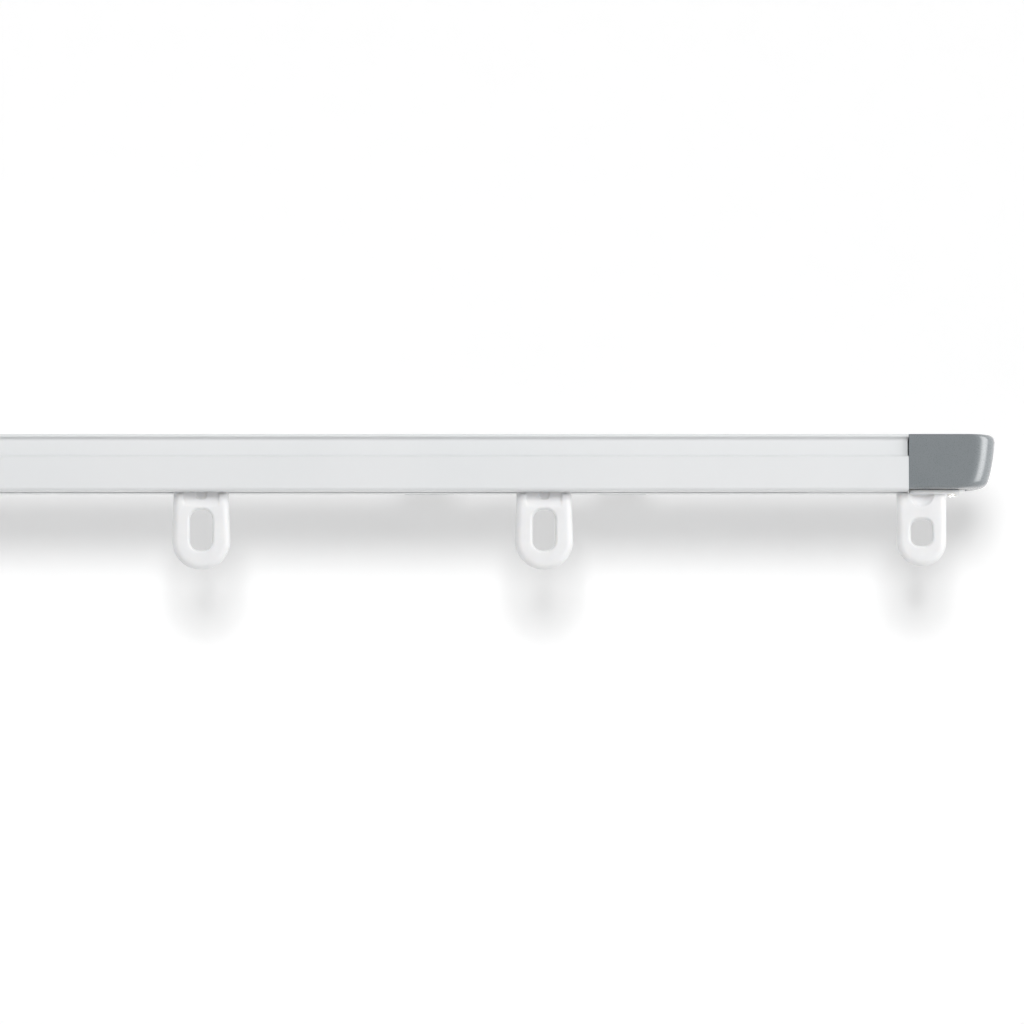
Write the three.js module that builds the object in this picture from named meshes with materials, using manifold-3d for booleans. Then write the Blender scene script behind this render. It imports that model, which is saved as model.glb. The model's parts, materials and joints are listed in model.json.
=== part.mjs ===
// Wall-mounted curtain track: a slim aluminium rail with sliding eye gliders, an
// eyed stop and a moulded cap at each end, and two cam-lock wall brackets hidden
// behind it. Millimetres, +Z up. X runs along the rail, the wall is the plane
// y = 0, and the rail's show face looks towards -Y. The origin is on the wall,
// at the rail's mid-length and mid-height.
import * as THREE from "three";
import { mergeVertices } from "three/addons/utils/BufferGeometryUtils.js";
import Module from "manifold-3d";

const wasm = await Module();
wasm.setup();

// Rail section, in y and z.
const RAIL_LENGTH = 600;
const RAIL_FRONT = -24;
const RAIL_BACK = -12;
const RAIL_TOP = 7;
const RAIL_BOTTOM = -7;
const SKIN = 1.2;
const LIP = 0.8;
const RECESS_DEPTH = 1.2;
const RECESS_FLOOR = 1.6;
const RAIL_CORNERS = { brow: 0.4, shelf: 0.5, chin: 1.1, edge: 0.2, inner: 0.3 };

// Lower channel that the gliders run in, with its slot in the rail's underside.
const CHANNEL_Y = -18;
const CHANNEL_WIDTH = 9.6;
const CHANNEL_TOP = -1.2;
const CHANNEL_FLOOR = RAIL_BOTTOM + SKIN;
const SLOT_WIDTH = 4;

// T-slot in the rail's back, and the closed chamber between it and the recess.
const TSLOT_Z = 2.9;
const TSLOT_OPENING = 3.6;
const TSLOT_HEIGHT = 5.8;
const TSLOT_DEPTH = 2;
const CHAMBER_FRONT = RAIL_FRONT + RECESS_DEPTH + SKIN;
const CHAMBER_BACK = RAIL_BACK - SKIN - TSLOT_DEPTH - SKIN;
const CHAMBER_FLOOR = CHANNEL_TOP + SKIN;
const CHAMBER_TOP = RAIL_TOP - SKIN;

// Gliders: an eye under the rail, a web through the slot and two legs in the channel.
const GLIDER_COUNT = 6;
const GLIDER_PITCH = 84.2;
const GLIDER_TOP_WIDTH = 13.4;
const GLIDER_EYE_RADIUS = 7.17;
const GLIDER_EYE_Z = -18.85;
const GLIDER_HOLE = { width: 5.8, height: 10.2, z: -16.3, corner: 2.4 };
const EYE_THICKNESS = 4;
const EYE_ROUND = 1.3;
const WEB_THICKNESS = 3;
const SHOULDER_WIDTH = 8.8;
const SHOULDER_TOP = -3.9;
const RUNNING_GAP = 0.2;
const NOTCH = { width: 2.9, bottom: -8.8, top: 0, depth: 1 };
const POCKET = { width: 8.8, bottom: -10.1, depth: 0.8, corner: 1.8 };
const SHOULDER_CORNER = 0.9;

// End stops, in u, the distance outwards from the rail's cut end.
const STOP_INNER_END = -25;
const STOP_OUTER_END = 14;
const STOP_BOTTOM = -7.5;
const STOP_BODY = { width: 9, bottom: -5.5, top: -1.6 };
const STOP_WEB = { width: 3.6, bottom: -7.2, top: -5 };
const STOP_FLANGE = { width: 6.4, top: -7.1 };
const STOP_CORNER = 0.8;
const STOP_EYE = { u: 3.2, radius: 5.86, z: -19.3 };
const STOP_HOLE = { width: 5.55, height: 7.25, z: -16.9, corner: 2 };
const STOP_BOWL = { radius: 3.1, z: -7.4, depth: 0.8 };
const STOP_SCREW_U = 10.8;
const STOP_SCREW = { headRadius: 1.4, headHeight: 0.8, shankRadius: 1.1, seatZ: -7.15, tipZ: 1.2, point: 1 };

// End caps, in u as well.
const CAP_GAP = 0.3;
const CAP_LENGTH = 21.2;
const CAP_NOSE_RADIUS = 5;
const CAP_CHIN = { u: 19.7, z: -4.5, pullBelow: 2, pullIn: 0.4, flatPull: 2.5 };
const CAP_LEAN = { u: 20.8, z: -0.4 };
const CAP_BROW = { z: 4.3, pullUp: 1.7, pullIn: 0.2, width: 2 };
const TONGUE_LENGTH = 10;
const TONGUE_CORNER = 0.6;

// Wall brackets: a strip of steel bent to a hat shape, with its pad on the rail's back.
const BRACKET_X = 200;
const BRACKET_HEIGHT = 12.4;
const BRACKET_STEEL = 1.5;
const BRACKET_INNER_BEND = 0.6;
const PAD_GAP = 0.1;
const PAD = { left: -13, right: 25, front: RAIL_BACK + PAD_GAP };
const FOOT_LENGTH = 12;
const FOOT_HOLE_INSET = 6.5;
const FOOT_HOLE_RADIUS = 2.1;

// Cam lock: an oval-headed stud that turns in the T-slot, its washer and its lever.
const CAM_HEAD = { long: 5.2, short: 3.2, corner: 1.57, front: -15, back: -13.4 };
const CAM_NECK_RADIUS = 1.6;
const CAM_WASHER = { radius: 3.6, boreRadius: 1.7, front: -10.35, back: -9.9 };
const CAM_LEVER = { hub: 3.9, length: 18, width: 5, front: -9.85, back: -8.2, corner: 1.2 };
const CAM_TAB = { thickness: 1.4, height: 3.4, inset: 0.6 };
const CAM_TAIL = { radius: 2.5, front: -8.15, back: -7.3 };

const WALL_SCREW = { headRadius: 3.5, headHeight: 2.3, shankRadius: 1.6, length: 29, point: 4 };
// The crown of a screw's head, in shares of its radius and of its height, and its cross
// recess, in shares of its radius.
const CROWN = [[0, 1], [0.55, 0.94], [0.88, 0.66], [1, 0.3], [1, 0]];
const CROSS = { blade: 0.2, reach: 0.55 };

// Clearances between pieces that stand still against each other.
const FIT_GAP = 0.3;
const SCREW_GAP = 0.2;
const CLOSE_GAP = 0.05;

// How deep joined shapes run into each other, and how far a cutting tool stands proud.
const OVERLAP = 0.5;
const PROUD = 1;

const ARC_STEPS = 4;
const CURVE_STEPS = 8;
const ROUND_SIDES = 20;
const WELD = 1e-4;

const materials = {
  railWhite: new THREE.MeshStandardMaterial({ color: 0xeceef0, roughness: 0.42, metalness: 0 }),
  nylonWhite: new THREE.MeshStandardMaterial({ color: 0xf4f4f6, roughness: 0.36, metalness: 0 }),
  capGrey: new THREE.MeshStandardMaterial({ color: 0x80868a, roughness: 0.45, metalness: 0 }),
  bracketWhite: new THREE.MeshStandardMaterial({ color: 0xe4e5e6, roughness: 0.5, metalness: 0 }),
  zincSteel: new THREE.MeshStandardMaterial({ color: 0xb9bdc1, roughness: 0.35, metalness: 1 }),
};

const X = new THREE.Vector3(1, 0, 0);
const Y = new THREE.Vector3(0, 1, 0);
const Z = new THREE.Vector3(0, 0, 1);

// Points of a closed outline given as [u, v, corner radius], with its corners as arcs.
function rounded(corners) {
  const points = [];
  corners.forEach(([u, v, radius = 0], i) => {
    const corner = new THREE.Vector2(u, v);
    const before = new THREE.Vector2(...corners.at(i - 1)).sub(corner).normalize();
    const after = new THREE.Vector2(...corners[(i + 1) % corners.length]).sub(corner).normalize();
    if (radius === 0) {
      points.push(corner);
      return;
    }
    const half = Math.acos(before.dot(after)) / 2;
    const inward = before.clone().add(after).normalize();
    const centre = inward.multiplyScalar(radius / Math.sin(half)).add(corner);
    const start = before.multiplyScalar(radius / Math.tan(half)).add(corner).sub(centre);
    const end = after.multiplyScalar(radius / Math.tan(half)).add(corner).sub(centre);
    const turn = Math.atan2(start.cross(end), start.dot(end));
    for (let k = 0; k <= ARC_STEPS; k += 1) {
      const at = start.clone().rotateAround(new THREE.Vector2(), (turn * k) / ARC_STEPS);
      points.push(at.add(centre));
    }
  });
  return points;
}

function rectangle(u0, v0, u1, v1, radius = 0) {
  return rounded([
    [u0, v0, radius],
    [u1, v0, radius],
    [u1, v1, radius],
    [u0, v1, radius],
  ]);
}

function extruded(outline, holes, depth, round = 0) {
  const shape = new THREE.Shape(outline);
  shape.holes = holes.map((hole) => new THREE.Path(hole));
  return new THREE.ExtrudeGeometry(shape, {
    depth: depth - 2 * round,
    bevelEnabled: round > 0,
    bevelThickness: round,
    bevelSize: round,
    bevelOffset: -round,
    bevelSegments: 2,
  }).translate(0, 0, round);
}

// Extrusions along each axis: an outline in (y, z), in (x, z) or in (x, y).
function alongX(outline, x0, x1, holes = []) {
  const turned = new THREE.Matrix4().makeBasis(Y, Z, X);
  return extruded(outline, holes, x1 - x0).applyMatrix4(turned).translate(x0, 0, 0);
}

function alongY(outline, y0, y1, holes = [], round = 0) {
  const turned = new THREE.Matrix4().makeBasis(X, Z, Y.clone().negate());
  return extruded(outline, holes, y1 - y0, round).applyMatrix4(turned).translate(0, y1, 0);
}

function alongZ(outline, z0, z1) {
  return extruded(outline, [], z1 - z0).translate(0, 0, z0);
}

function block(x0, y0, z0, x1, y1, z1, radius = 0) {
  return alongZ(rectangle(x0, y0, x1, y1, radius), z0, z1);
}

function rodAlongZ(x, y, radius, z0, z1) {
  const rod = new THREE.CylinderGeometry(radius, radius, z1 - z0, ROUND_SIDES);
  return rod.rotateX(Math.PI / 2).translate(x, y, (z0 + z1) / 2);
}

function rodAlongY(x, z, radius, y0, y1) {
  const rod = new THREE.CylinderGeometry(radius, radius, y1 - y0, ROUND_SIDES);
  return rod.translate(x, (y0 + y1) / 2, z);
}

function toSolid(geometry) {
  const bare = geometry.clone();
  bare.deleteAttribute("normal");
  bare.deleteAttribute("uv");
  const merged = mergeVertices(bare, WELD);
  const vertProperties = new Float32Array(merged.attributes.position.array);
  const triVerts = new Uint32Array(merged.index.array);
  return new wasm.Manifold(new wasm.Mesh({ numProp: 3, vertProperties, triVerts }));
}

function toGeometry(solid) {
  const { vertProperties, triVerts } = solid.getMesh();
  const geometry = new THREE.BufferGeometry();
  geometry.setAttribute("position", new THREE.BufferAttribute(vertProperties, 3));
  geometry.setIndex(new THREE.BufferAttribute(triVerts, 1));
  geometry.computeVertexNormals();
  return geometry;
}

function joined(...geometries) {
  return toGeometry(geometries.map(toSolid).reduce((body, piece) => body.add(piece)));
}

function cut(geometry, ...tools) {
  return toGeometry(tools.map(toSolid).reduce((body, tool) => body.subtract(tool), toSolid(geometry)));
}

function common(first, second) {
  return toGeometry(toSolid(first).intersect(toSolid(second)));
}

// The same piece for the other end of the rail, with its faces turned back outwards.
function mirroredX(geometry) {
  const mirrored = geometry.clone().applyMatrix4(new THREE.Matrix4().makeScale(-1, 1, 1));
  const corners = mirrored.index.array;
  for (let i = 0; i < corners.length; i += 3) {
    [corners[i], corners[i + 1]] = [corners[i + 1], corners[i]];
  }
  mirrored.computeVertexNormals();
  return mirrored;
}

function railProfile() {
  const recessBack = RAIL_FRONT + RECESS_DEPTH;
  const lip = RAIL_BACK - SKIN;
  const tslotFloor = lip - TSLOT_DEPTH;
  const tslotBottom = TSLOT_Z - TSLOT_HEIGHT / 2;
  const tslotTop = TSLOT_Z + TSLOT_HEIGHT / 2;
  const openingBottom = TSLOT_Z - TSLOT_OPENING / 2;
  const openingTop = TSLOT_Z + TSLOT_OPENING / 2;
  const channelFront = CHANNEL_Y - CHANNEL_WIDTH / 2;
  const channelBack = CHANNEL_Y + CHANNEL_WIDTH / 2;
  const slotFront = CHANNEL_Y - SLOT_WIDTH / 2;
  const slotBack = CHANNEL_Y + SLOT_WIDTH / 2;
  const { brow, shelf, chin, edge, inner } = RAIL_CORNERS;
  const outline = rounded([
    [RAIL_FRONT, RAIL_TOP, brow],
    [RAIL_FRONT, RAIL_TOP - LIP, edge],
    [recessBack, RAIL_TOP - LIP, inner],
    [recessBack, RECESS_FLOOR, inner],
    [RAIL_FRONT, RECESS_FLOOR, shelf],
    [RAIL_FRONT, RAIL_BOTTOM, chin],
    [slotFront, RAIL_BOTTOM, edge],
    [slotFront, CHANNEL_FLOOR, edge],
    [channelFront, CHANNEL_FLOOR, inner],
    [channelFront, CHANNEL_TOP, inner],
    [channelBack, CHANNEL_TOP, inner],
    [channelBack, CHANNEL_FLOOR, inner],
    [slotBack, CHANNEL_FLOOR, edge],
    [slotBack, RAIL_BOTTOM, edge],
    [RAIL_BACK, RAIL_BOTTOM, shelf],
    [RAIL_BACK, openingBottom, edge],
    [lip, openingBottom, edge],
    [lip, tslotBottom, edge],
    [tslotFloor, tslotBottom, inner],
    [tslotFloor, tslotTop, inner],
    [lip, tslotTop, edge],
    [lip, openingTop, edge],
    [RAIL_BACK, openingTop, edge],
    [RAIL_BACK, RAIL_TOP, brow],
  ]);
  const chamber = rectangle(CHAMBER_FRONT, CHAMBER_FLOOR, CHAMBER_BACK, CHAMBER_TOP, inner);
  return alongX(outline, -RAIL_LENGTH / 2, RAIL_LENGTH / 2, [chamber]);
}

// A flat eye with rounded edges, centred on y = 0: straight sides down to a round end.
function eyePlate(x, top, halfTop, radius, arcZ, hole) {
  const outline = new THREE.Shape();
  outline.moveTo(x - halfTop, top);
  outline.lineTo(x - radius, arcZ);
  outline.absarc(x, arcZ, radius, Math.PI, 2 * Math.PI, false);
  outline.lineTo(x + halfTop, top);
  const opening = rectangle(
    x - hole.width / 2,
    hole.z - hole.height / 2,
    x + hole.width / 2,
    hole.z + hole.height / 2,
    hole.corner,
  );
  const half = EYE_THICKNESS / 2;
  return alongY(outline.getPoints(CURVE_STEPS), -half, half, [opening], EYE_ROUND);
}

// A round-bottomed slot in x and z, from y0 to y1.
function notchTool(y0, y1) {
  const radius = NOTCH.width / 2;
  const middle = NOTCH.bottom + radius;
  const above = block(-radius, y0, middle, radius, y1, NOTCH.top);
  return joined(above, rodAlongY(0, middle, radius, y0, y1));
}

function glider() {
  const half = GLIDER_TOP_WIDTH / 2;
  const top = RAIL_BOTTOM - 2 * RUNNING_GAP;
  const eye = eyePlate(0, top, half, GLIDER_EYE_RADIUS, GLIDER_EYE_Z, GLIDER_HOLE);
  const pocket = rectangle(
    -POCKET.width / 2,
    POCKET.bottom,
    POCKET.width / 2,
    top + POCKET.corner,
    POCKET.corner,
  );
  const face = EYE_THICKNESS / 2;
  const frontPocket = alongY(pocket, -face - PROUD, POCKET.depth - face);
  const backPocket = alongY(pocket, face - POCKET.depth, face + PROUD);
  const web = WEB_THICKNESS / 2;
  const neck = block(-half, -web, POCKET.bottom, half, web, SHOULDER_TOP);
  const shoulder = SHOULDER_WIDTH / 2;
  const shoulderFloor = CHANNEL_FLOOR + RUNNING_GAP;
  const shoulders = block(-half, -shoulder, shoulderFloor, half, shoulder, SHOULDER_TOP, SHOULDER_CORNER);
  const body = joined(cut(eye, frontPocket, backPocket), neck, shoulders);
  const floor = web - NOTCH.depth;
  return cut(body, notchTool(-SHOULDER_WIDTH, -floor), notchTool(floor, SHOULDER_WIDTH));
}

function endStop() {
  const spine = (width, bottom, top, inner = STOP_INNER_END) =>
    block(inner, -width / 2, bottom, STOP_OUTER_END, width / 2, top, STOP_CORNER);
  const body = spine(STOP_BODY.width, STOP_BODY.bottom, STOP_BODY.top);
  const web = spine(STOP_WEB.width, STOP_WEB.bottom, STOP_WEB.top);
  const flange = spine(STOP_FLANGE.width, STOP_BOTTOM, STOP_FLANGE.top, CAP_GAP);
  const { u, radius, z } = STOP_EYE;
  const eye = eyePlate(u, RAIL_BOTTOM, radius, radius, z, STOP_HOLE);
  const face = EYE_THICKNESS / 2;
  const bowl = rodAlongY(u, STOP_BOWL.z, STOP_BOWL.radius, -face - PROUD, STOP_BOWL.depth - face);
  const { headRadius, shankRadius, seatZ } = STOP_SCREW;
  const below = STOP_BOTTOM - PROUD;
  const screwHole = rodAlongZ(STOP_SCREW_U, 0, shankRadius + SCREW_GAP, below, 0);
  const headSink = rodAlongZ(STOP_SCREW_U, 0, headRadius + SCREW_GAP, below, seatZ + CLOSE_GAP);
  return cut(joined(body, web, flange, cut(eye, bowl)), screwHole, headSink);
}

// The cap's side outline: a nose that leans in towards its rounded bottom.
function capSide() {
  const outline = new THREE.Shape();
  outline.moveTo(CAP_GAP, RAIL_BOTTOM);
  outline.lineTo(STOP_OUTER_END, RAIL_BOTTOM);
  const { u, z, flatPull, pullIn, pullBelow } = CAP_CHIN;
  outline.bezierCurveTo(u - flatPull, RAIL_BOTTOM, u - pullIn, z - pullBelow, u, z);
  outline.quadraticCurveTo(CAP_LEAN.u, CAP_LEAN.z, CAP_LENGTH, CAP_BROW.z);
  const browTop = CAP_LENGTH - CAP_BROW.width;
  const pulled = CAP_LENGTH - CAP_BROW.pullIn;
  outline.bezierCurveTo(CAP_LENGTH, CAP_BROW.z + CAP_BROW.pullUp, pulled, RAIL_TOP, browTop, RAIL_TOP);
  outline.lineTo(CAP_GAP, RAIL_TOP);
  return outline.getPoints(CURVE_STEPS);
}

function endCap() {
  const side = alongY(capSide(), RAIL_FRONT, RAIL_BACK);
  const plan = rounded([
    [CAP_GAP, RAIL_FRONT],
    [CAP_LENGTH, RAIL_FRONT, CAP_NOSE_RADIUS],
    [CAP_LENGTH, RAIL_BACK, CAP_NOSE_RADIUS],
    [CAP_GAP, RAIL_BACK],
  ]);
  const shell = common(side, alongZ(plan, RAIL_BOTTOM - PROUD, RAIL_TOP + PROUD));
  const tongue = block(
    -TONGUE_LENGTH,
    CHAMBER_FRONT + FIT_GAP,
    CHAMBER_FLOOR + FIT_GAP,
    CAP_GAP + 2 * OVERLAP,
    CHAMBER_BACK - FIT_GAP,
    CHAMBER_TOP - FIT_GAP,
    TONGUE_CORNER,
  );
  const socketEnd = STOP_OUTER_END + FIT_GAP;
  const socket = block(
    0,
    CHANNEL_Y - CHANNEL_WIDTH / 2,
    CHANNEL_FLOOR,
    socketEnd,
    CHANNEL_Y + CHANNEL_WIDTH / 2,
    CHANNEL_TOP,
  );
  const slot = block(
    0,
    CHANNEL_Y - SLOT_WIDTH / 2,
    RAIL_BOTTOM - PROUD,
    socketEnd,
    CHANNEL_Y + SLOT_WIDTH / 2,
    CHANNEL_FLOOR + OVERLAP,
  );
  const pilotRadius = STOP_SCREW.shankRadius + CLOSE_GAP;
  const pilotEnd = STOP_SCREW.tipZ + FIT_GAP;
  const pilot = rodAlongZ(STOP_SCREW_U, CHANNEL_Y, pilotRadius, CHANNEL_TOP - OVERLAP, pilotEnd);
  return cut(joined(shell, tongue), socket, slot, pilot);
}

// A cross recess for a driver, cut into a head that faces down the piece's own -Y.
function crossRecess(headFront, headRadius) {
  const blade = (headRadius * CROSS.blade) / 2;
  const reach = (headRadius * CROSS.reach) / 2;
  const front = headFront - PROUD;
  const floor = headFront + reach;
  const upright = block(-blade, front, -reach, blade, floor, reach);
  const level = block(-reach, front, -blade, reach, floor, blade);
  return joined(upright, level);
}

// A screw pointing along +Y, the underside of its head at y = 0.
function screw({ headRadius, headHeight, shankRadius, length, point }) {
  const section = [
    ...CROWN.map(([out, up]) => [headRadius * out, -headHeight * up]),
    [shankRadius, 0],
    [shankRadius, length - point],
    [0, length],
  ];
  const turned = section.map(([radius, y]) => new THREE.Vector2(radius, y));
  const body = new THREE.LatheGeometry(turned, ROUND_SIDES);
  return cut(body, crossRecess(-headHeight, headRadius));
}

function bracketBody() {
  const padBack = PAD.front + BRACKET_STEEL;
  const footFront = -BRACKET_STEEL;
  const inside = BRACKET_INNER_BEND;
  const bend = BRACKET_STEEL + inside;
  const plan = rounded([
    [PAD.left - FOOT_LENGTH, footFront],
    [PAD.left, footFront, inside],
    [PAD.left, PAD.front, bend],
    [PAD.right, PAD.front, bend],
    [PAD.right, footFront, inside],
    [PAD.right + FOOT_LENGTH, footFront],
    [PAD.right + FOOT_LENGTH, 0],
    [PAD.right - BRACKET_STEEL, 0, bend],
    [PAD.right - BRACKET_STEEL, padBack, inside],
    [PAD.left + BRACKET_STEEL, padBack, inside],
    [PAD.left + BRACKET_STEEL, 0, bend],
    [PAD.left - FOOT_LENGTH, 0],
  ]);
  const strip = alongZ(plan, -BRACKET_HEIGHT / 2, BRACKET_HEIGHT / 2);
  const camHole = rodAlongY(0, TSLOT_Z, CAM_NECK_RADIUS + FIT_GAP, PAD.front - PROUD, padBack + PROUD);
  const footHoles = footHoleXs().map((x) => rodAlongY(x, 0, FOOT_HOLE_RADIUS, footFront - PROUD, PROUD));
  return cut(strip, camHole, ...footHoles);
}

function footHoleXs() {
  return [PAD.left - FOOT_HOLE_INSET, PAD.right + FOOT_HOLE_INSET];
}

// The cam pieces turn about the line x = 0, z = 0; a bracket holds that line at TSLOT_Z.
function camStud() {
  const half = CAM_HEAD.long / 2;
  const side = CAM_HEAD.short / 2;
  const oval = rectangle(-side, -half, side, half, CAM_HEAD.corner);
  const head = alongY(oval, CAM_HEAD.front, CAM_HEAD.back);
  const neck = rodAlongY(0, 0, CAM_NECK_RADIUS, CAM_HEAD.front + OVERLAP, CAM_TAIL.back - OVERLAP);
  const tail = rodAlongY(0, 0, CAM_TAIL.radius, CAM_TAIL.front, CAM_TAIL.back);
  return joined(head, neck, tail);
}

function camWasher() {
  const { radius, boreRadius, front, back } = CAM_WASHER;
  const bore = rodAlongY(0, 0, boreRadius, front - PROUD, back + PROUD);
  return cut(rodAlongY(0, 0, radius, front, back), bore);
}

// The lever lies along +X when locked; its finger tab is bent towards the wall.
function camLever() {
  const { hub, length, width, front, back, corner } = CAM_LEVER;
  const arm = rectangle(-width / 2, -width / 2, length, width / 2, corner);
  const plate = joined(alongY(arm, front, back), rodAlongY(0, 0, hub, front, back));
  const side = width / 2 - CAM_TAB.inset;
  const tabStart = length - CAM_TAB.thickness;
  const fingerTab = block(tabStart, front, -side, length, back + CAM_TAB.height, side);
  const bore = rodAlongY(0, 0, CAM_NECK_RADIUS + CLOSE_GAP, front - PROUD, back + PROUD);
  return cut(joined(plate, fingerTab), bore);
}

const track = new THREE.Group();

function place(parent, name, geometry, material, x = 0, y = 0, z = 0) {
  const mesh = new THREE.Mesh(geometry, material);
  mesh.name = name;
  mesh.position.set(x, y, z);
  parent.add(mesh);
  return mesh;
}

function placeGliders() {
  const first = (-(GLIDER_COUNT - 1) / 2) * GLIDER_PITCH;
  const geometry = glider();
  for (let i = 0; i < GLIDER_COUNT; i += 1) {
    const name = `glider_${i + 1}`;
    place(track, name, geometry, materials.nylonWhite, first + i * GLIDER_PITCH, CHANNEL_Y);
  }
}

function placeEnds() {
  const cap = endCap();
  const stop = endStop();
  const pin = screw({ ...STOP_SCREW, length: STOP_SCREW.tipZ - STOP_SCREW.seatZ });
  for (const [side, sign] of [["left", -1], ["right", 1]]) {
    const shaped = (geometry) => (sign > 0 ? geometry : mirroredX(geometry));
    const end = new THREE.Group();
    end.position.x = (sign * RAIL_LENGTH) / 2;
    track.add(end);
    place(end, `end_cap_${side}`, shaped(cap), materials.capGrey);
    place(end, `end_stop_${side}`, shaped(stop), materials.nylonWhite, 0, CHANNEL_Y);
    const fixing = place(end, `stop_screw_${side}`, pin, materials.zincSteel);
    fixing.position.set(sign * STOP_SCREW_U, CHANNEL_Y, STOP_SCREW.seatZ);
    fixing.rotation.x = Math.PI / 2;
  }
}

function placeBrackets() {
  const wallScrew = screw(WALL_SCREW);
  for (const [side, sign] of [["left", -1], ["right", 1]]) {
    const bracket = new THREE.Group();
    bracket.position.x = sign * BRACKET_X;
    track.add(bracket);
    place(bracket, `bracket_${side}`, bracketBody(), materials.bracketWhite);
    place(bracket, `cam_stud_${side}`, camStud(), materials.zincSteel, 0, 0, TSLOT_Z);
    place(bracket, `cam_washer_${side}`, camWasher(), materials.zincSteel, 0, 0, TSLOT_Z);
    place(bracket, `cam_lever_${side}`, camLever(), materials.zincSteel, 0, 0, TSLOT_Z);
    footHoleXs().forEach((x, i) => {
      const name = `wall_screw_${side}_${i + 1}`;
      place(bracket, name, wallScrew, materials.zincSteel, x, -BRACKET_STEEL - CLOSE_GAP);
    });
  }
}

place(track, "track_profile", railProfile(), materials.railWhite);
placeGliders();
placeEnds();
placeBrackets();

export default track;
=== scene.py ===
# Looks for the wall-mounted curtain track: fine meshes and finishes for every
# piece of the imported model. The pieces and the camera are laid out in
# millimetres, which MM turns into metres. Finishes, stage and lamps are in metres.
import json
import math

import bmesh
import bpy
from mathutils import Matrix, Vector

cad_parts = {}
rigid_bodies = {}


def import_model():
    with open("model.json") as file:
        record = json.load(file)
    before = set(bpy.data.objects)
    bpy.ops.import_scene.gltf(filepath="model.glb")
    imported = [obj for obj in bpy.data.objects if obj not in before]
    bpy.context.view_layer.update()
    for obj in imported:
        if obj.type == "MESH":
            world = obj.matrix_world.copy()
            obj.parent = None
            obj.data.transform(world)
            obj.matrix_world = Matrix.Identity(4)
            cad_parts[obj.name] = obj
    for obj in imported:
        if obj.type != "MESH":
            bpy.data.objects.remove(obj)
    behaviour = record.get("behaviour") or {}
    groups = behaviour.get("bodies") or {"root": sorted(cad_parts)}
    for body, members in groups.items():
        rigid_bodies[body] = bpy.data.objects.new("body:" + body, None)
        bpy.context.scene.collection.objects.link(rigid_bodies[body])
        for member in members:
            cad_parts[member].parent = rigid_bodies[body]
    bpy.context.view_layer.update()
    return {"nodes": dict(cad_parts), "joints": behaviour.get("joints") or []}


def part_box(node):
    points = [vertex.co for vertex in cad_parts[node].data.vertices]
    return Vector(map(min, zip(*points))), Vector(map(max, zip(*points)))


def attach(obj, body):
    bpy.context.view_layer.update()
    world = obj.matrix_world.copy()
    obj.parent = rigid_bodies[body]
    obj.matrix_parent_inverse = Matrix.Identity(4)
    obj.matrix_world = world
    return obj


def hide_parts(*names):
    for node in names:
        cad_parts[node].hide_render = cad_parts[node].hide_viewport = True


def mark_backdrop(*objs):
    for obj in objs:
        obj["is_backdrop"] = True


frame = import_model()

MM = 0.001
PROUD = 1.0  # how far a cutting tool stands out of the face it cuts
SIDES = {"left": -1, "right": 1}

# ---------------------------------------------------------------- sizes from the frame


def box(node):
    low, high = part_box(node)
    return low / MM, high / MM


RAIL_LOW, RAIL_HIGH = box("track_profile")
RAIL_END = RAIL_HIGH.x
RAIL_FRONT, RAIL_BACK = RAIL_LOW.y, RAIL_HIGH.y
RAIL_BOTTOM, RAIL_TOP = RAIL_LOW.z, RAIL_HIGH.z
SKIN = 1.2
LIP = 0.8
RECESS = 1.2
RECESS_FLOOR = 1.6
END_NICK = 0.28
CHANNEL_Y = (RAIL_FRONT + RAIL_BACK) / 2
CHANNEL_HALF = 4.8
CHANNEL_TOP = -1.2
CHANNEL_FLOOR = RAIL_BOTTOM + SKIN
SLOT_HALF = 2.0
CHAMBER_FLOOR = 0.0
TSLOT_DEPTH = 2.0
FIT_GAP = 0.3
STOP_SCREW_U = 10.8
GLIDERS = sorted(n for n in frame["nodes"] if n.startswith("glider_"))
CAM_JOINTS = {side: f"cam_{side}_turn" for side in SIDES}
CAM_AXES = {
    side: Vector(next(j["pos_m"] for j in frame["joints"] if j["name"] == name)) / MM
    for side, name in CAM_JOINTS.items()
}

# ---------------------------------------------------------------- outlines


def rounded(corners, turn_step=math.radians(10)):
    """Points of a closed outline given as (u, v, corner radius), its corners as arcs."""
    points = []
    for i, (u, v, radius) in enumerate(corners):
        corner = Vector((u, v))
        if radius == 0:
            points.append(corner)
            continue
        before = (Vector(corners[i - 1][:2]) - corner).normalized()
        after = (Vector(corners[(i + 1) % len(corners)][:2]) - corner).normalized()
        half = math.acos(before.dot(after)) / 2
        centre = corner + (before + after).normalized() * (radius / math.sin(half))
        start = corner + before * (radius / math.tan(half)) - centre
        end = corner + after * (radius / math.tan(half)) - centre
        turn = math.atan2(start.x * end.y - start.y * end.x, start.dot(end))
        steps = max(3, round(abs(turn) / turn_step))
        for k in range(steps + 1):
            points.append(centre + Matrix.Rotation(turn * k / steps, 2) @ start)
    return points


def rectangle(u0, v0, u1, v1, radius=0.0):
    return rounded([(u0, v0, radius), (u1, v0, radius), (u1, v1, radius), (u0, v1, radius)])


def circle(u, v, radius, sides=48):
    turns = [2 * math.pi * k / sides for k in range(sides)]
    return [Vector((u + radius * math.cos(a), v + radius * math.sin(a))) for a in turns]


def wound(points, clockwise):
    """The outline turned the stated way round: outer loops run anticlockwise, holes clockwise."""
    area = sum(a.x * b.y - b.x * a.y for a, b in zip(points, points[1:] + points[:1]))
    return points[::-1] if (area < 0) != clockwise else points


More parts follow.
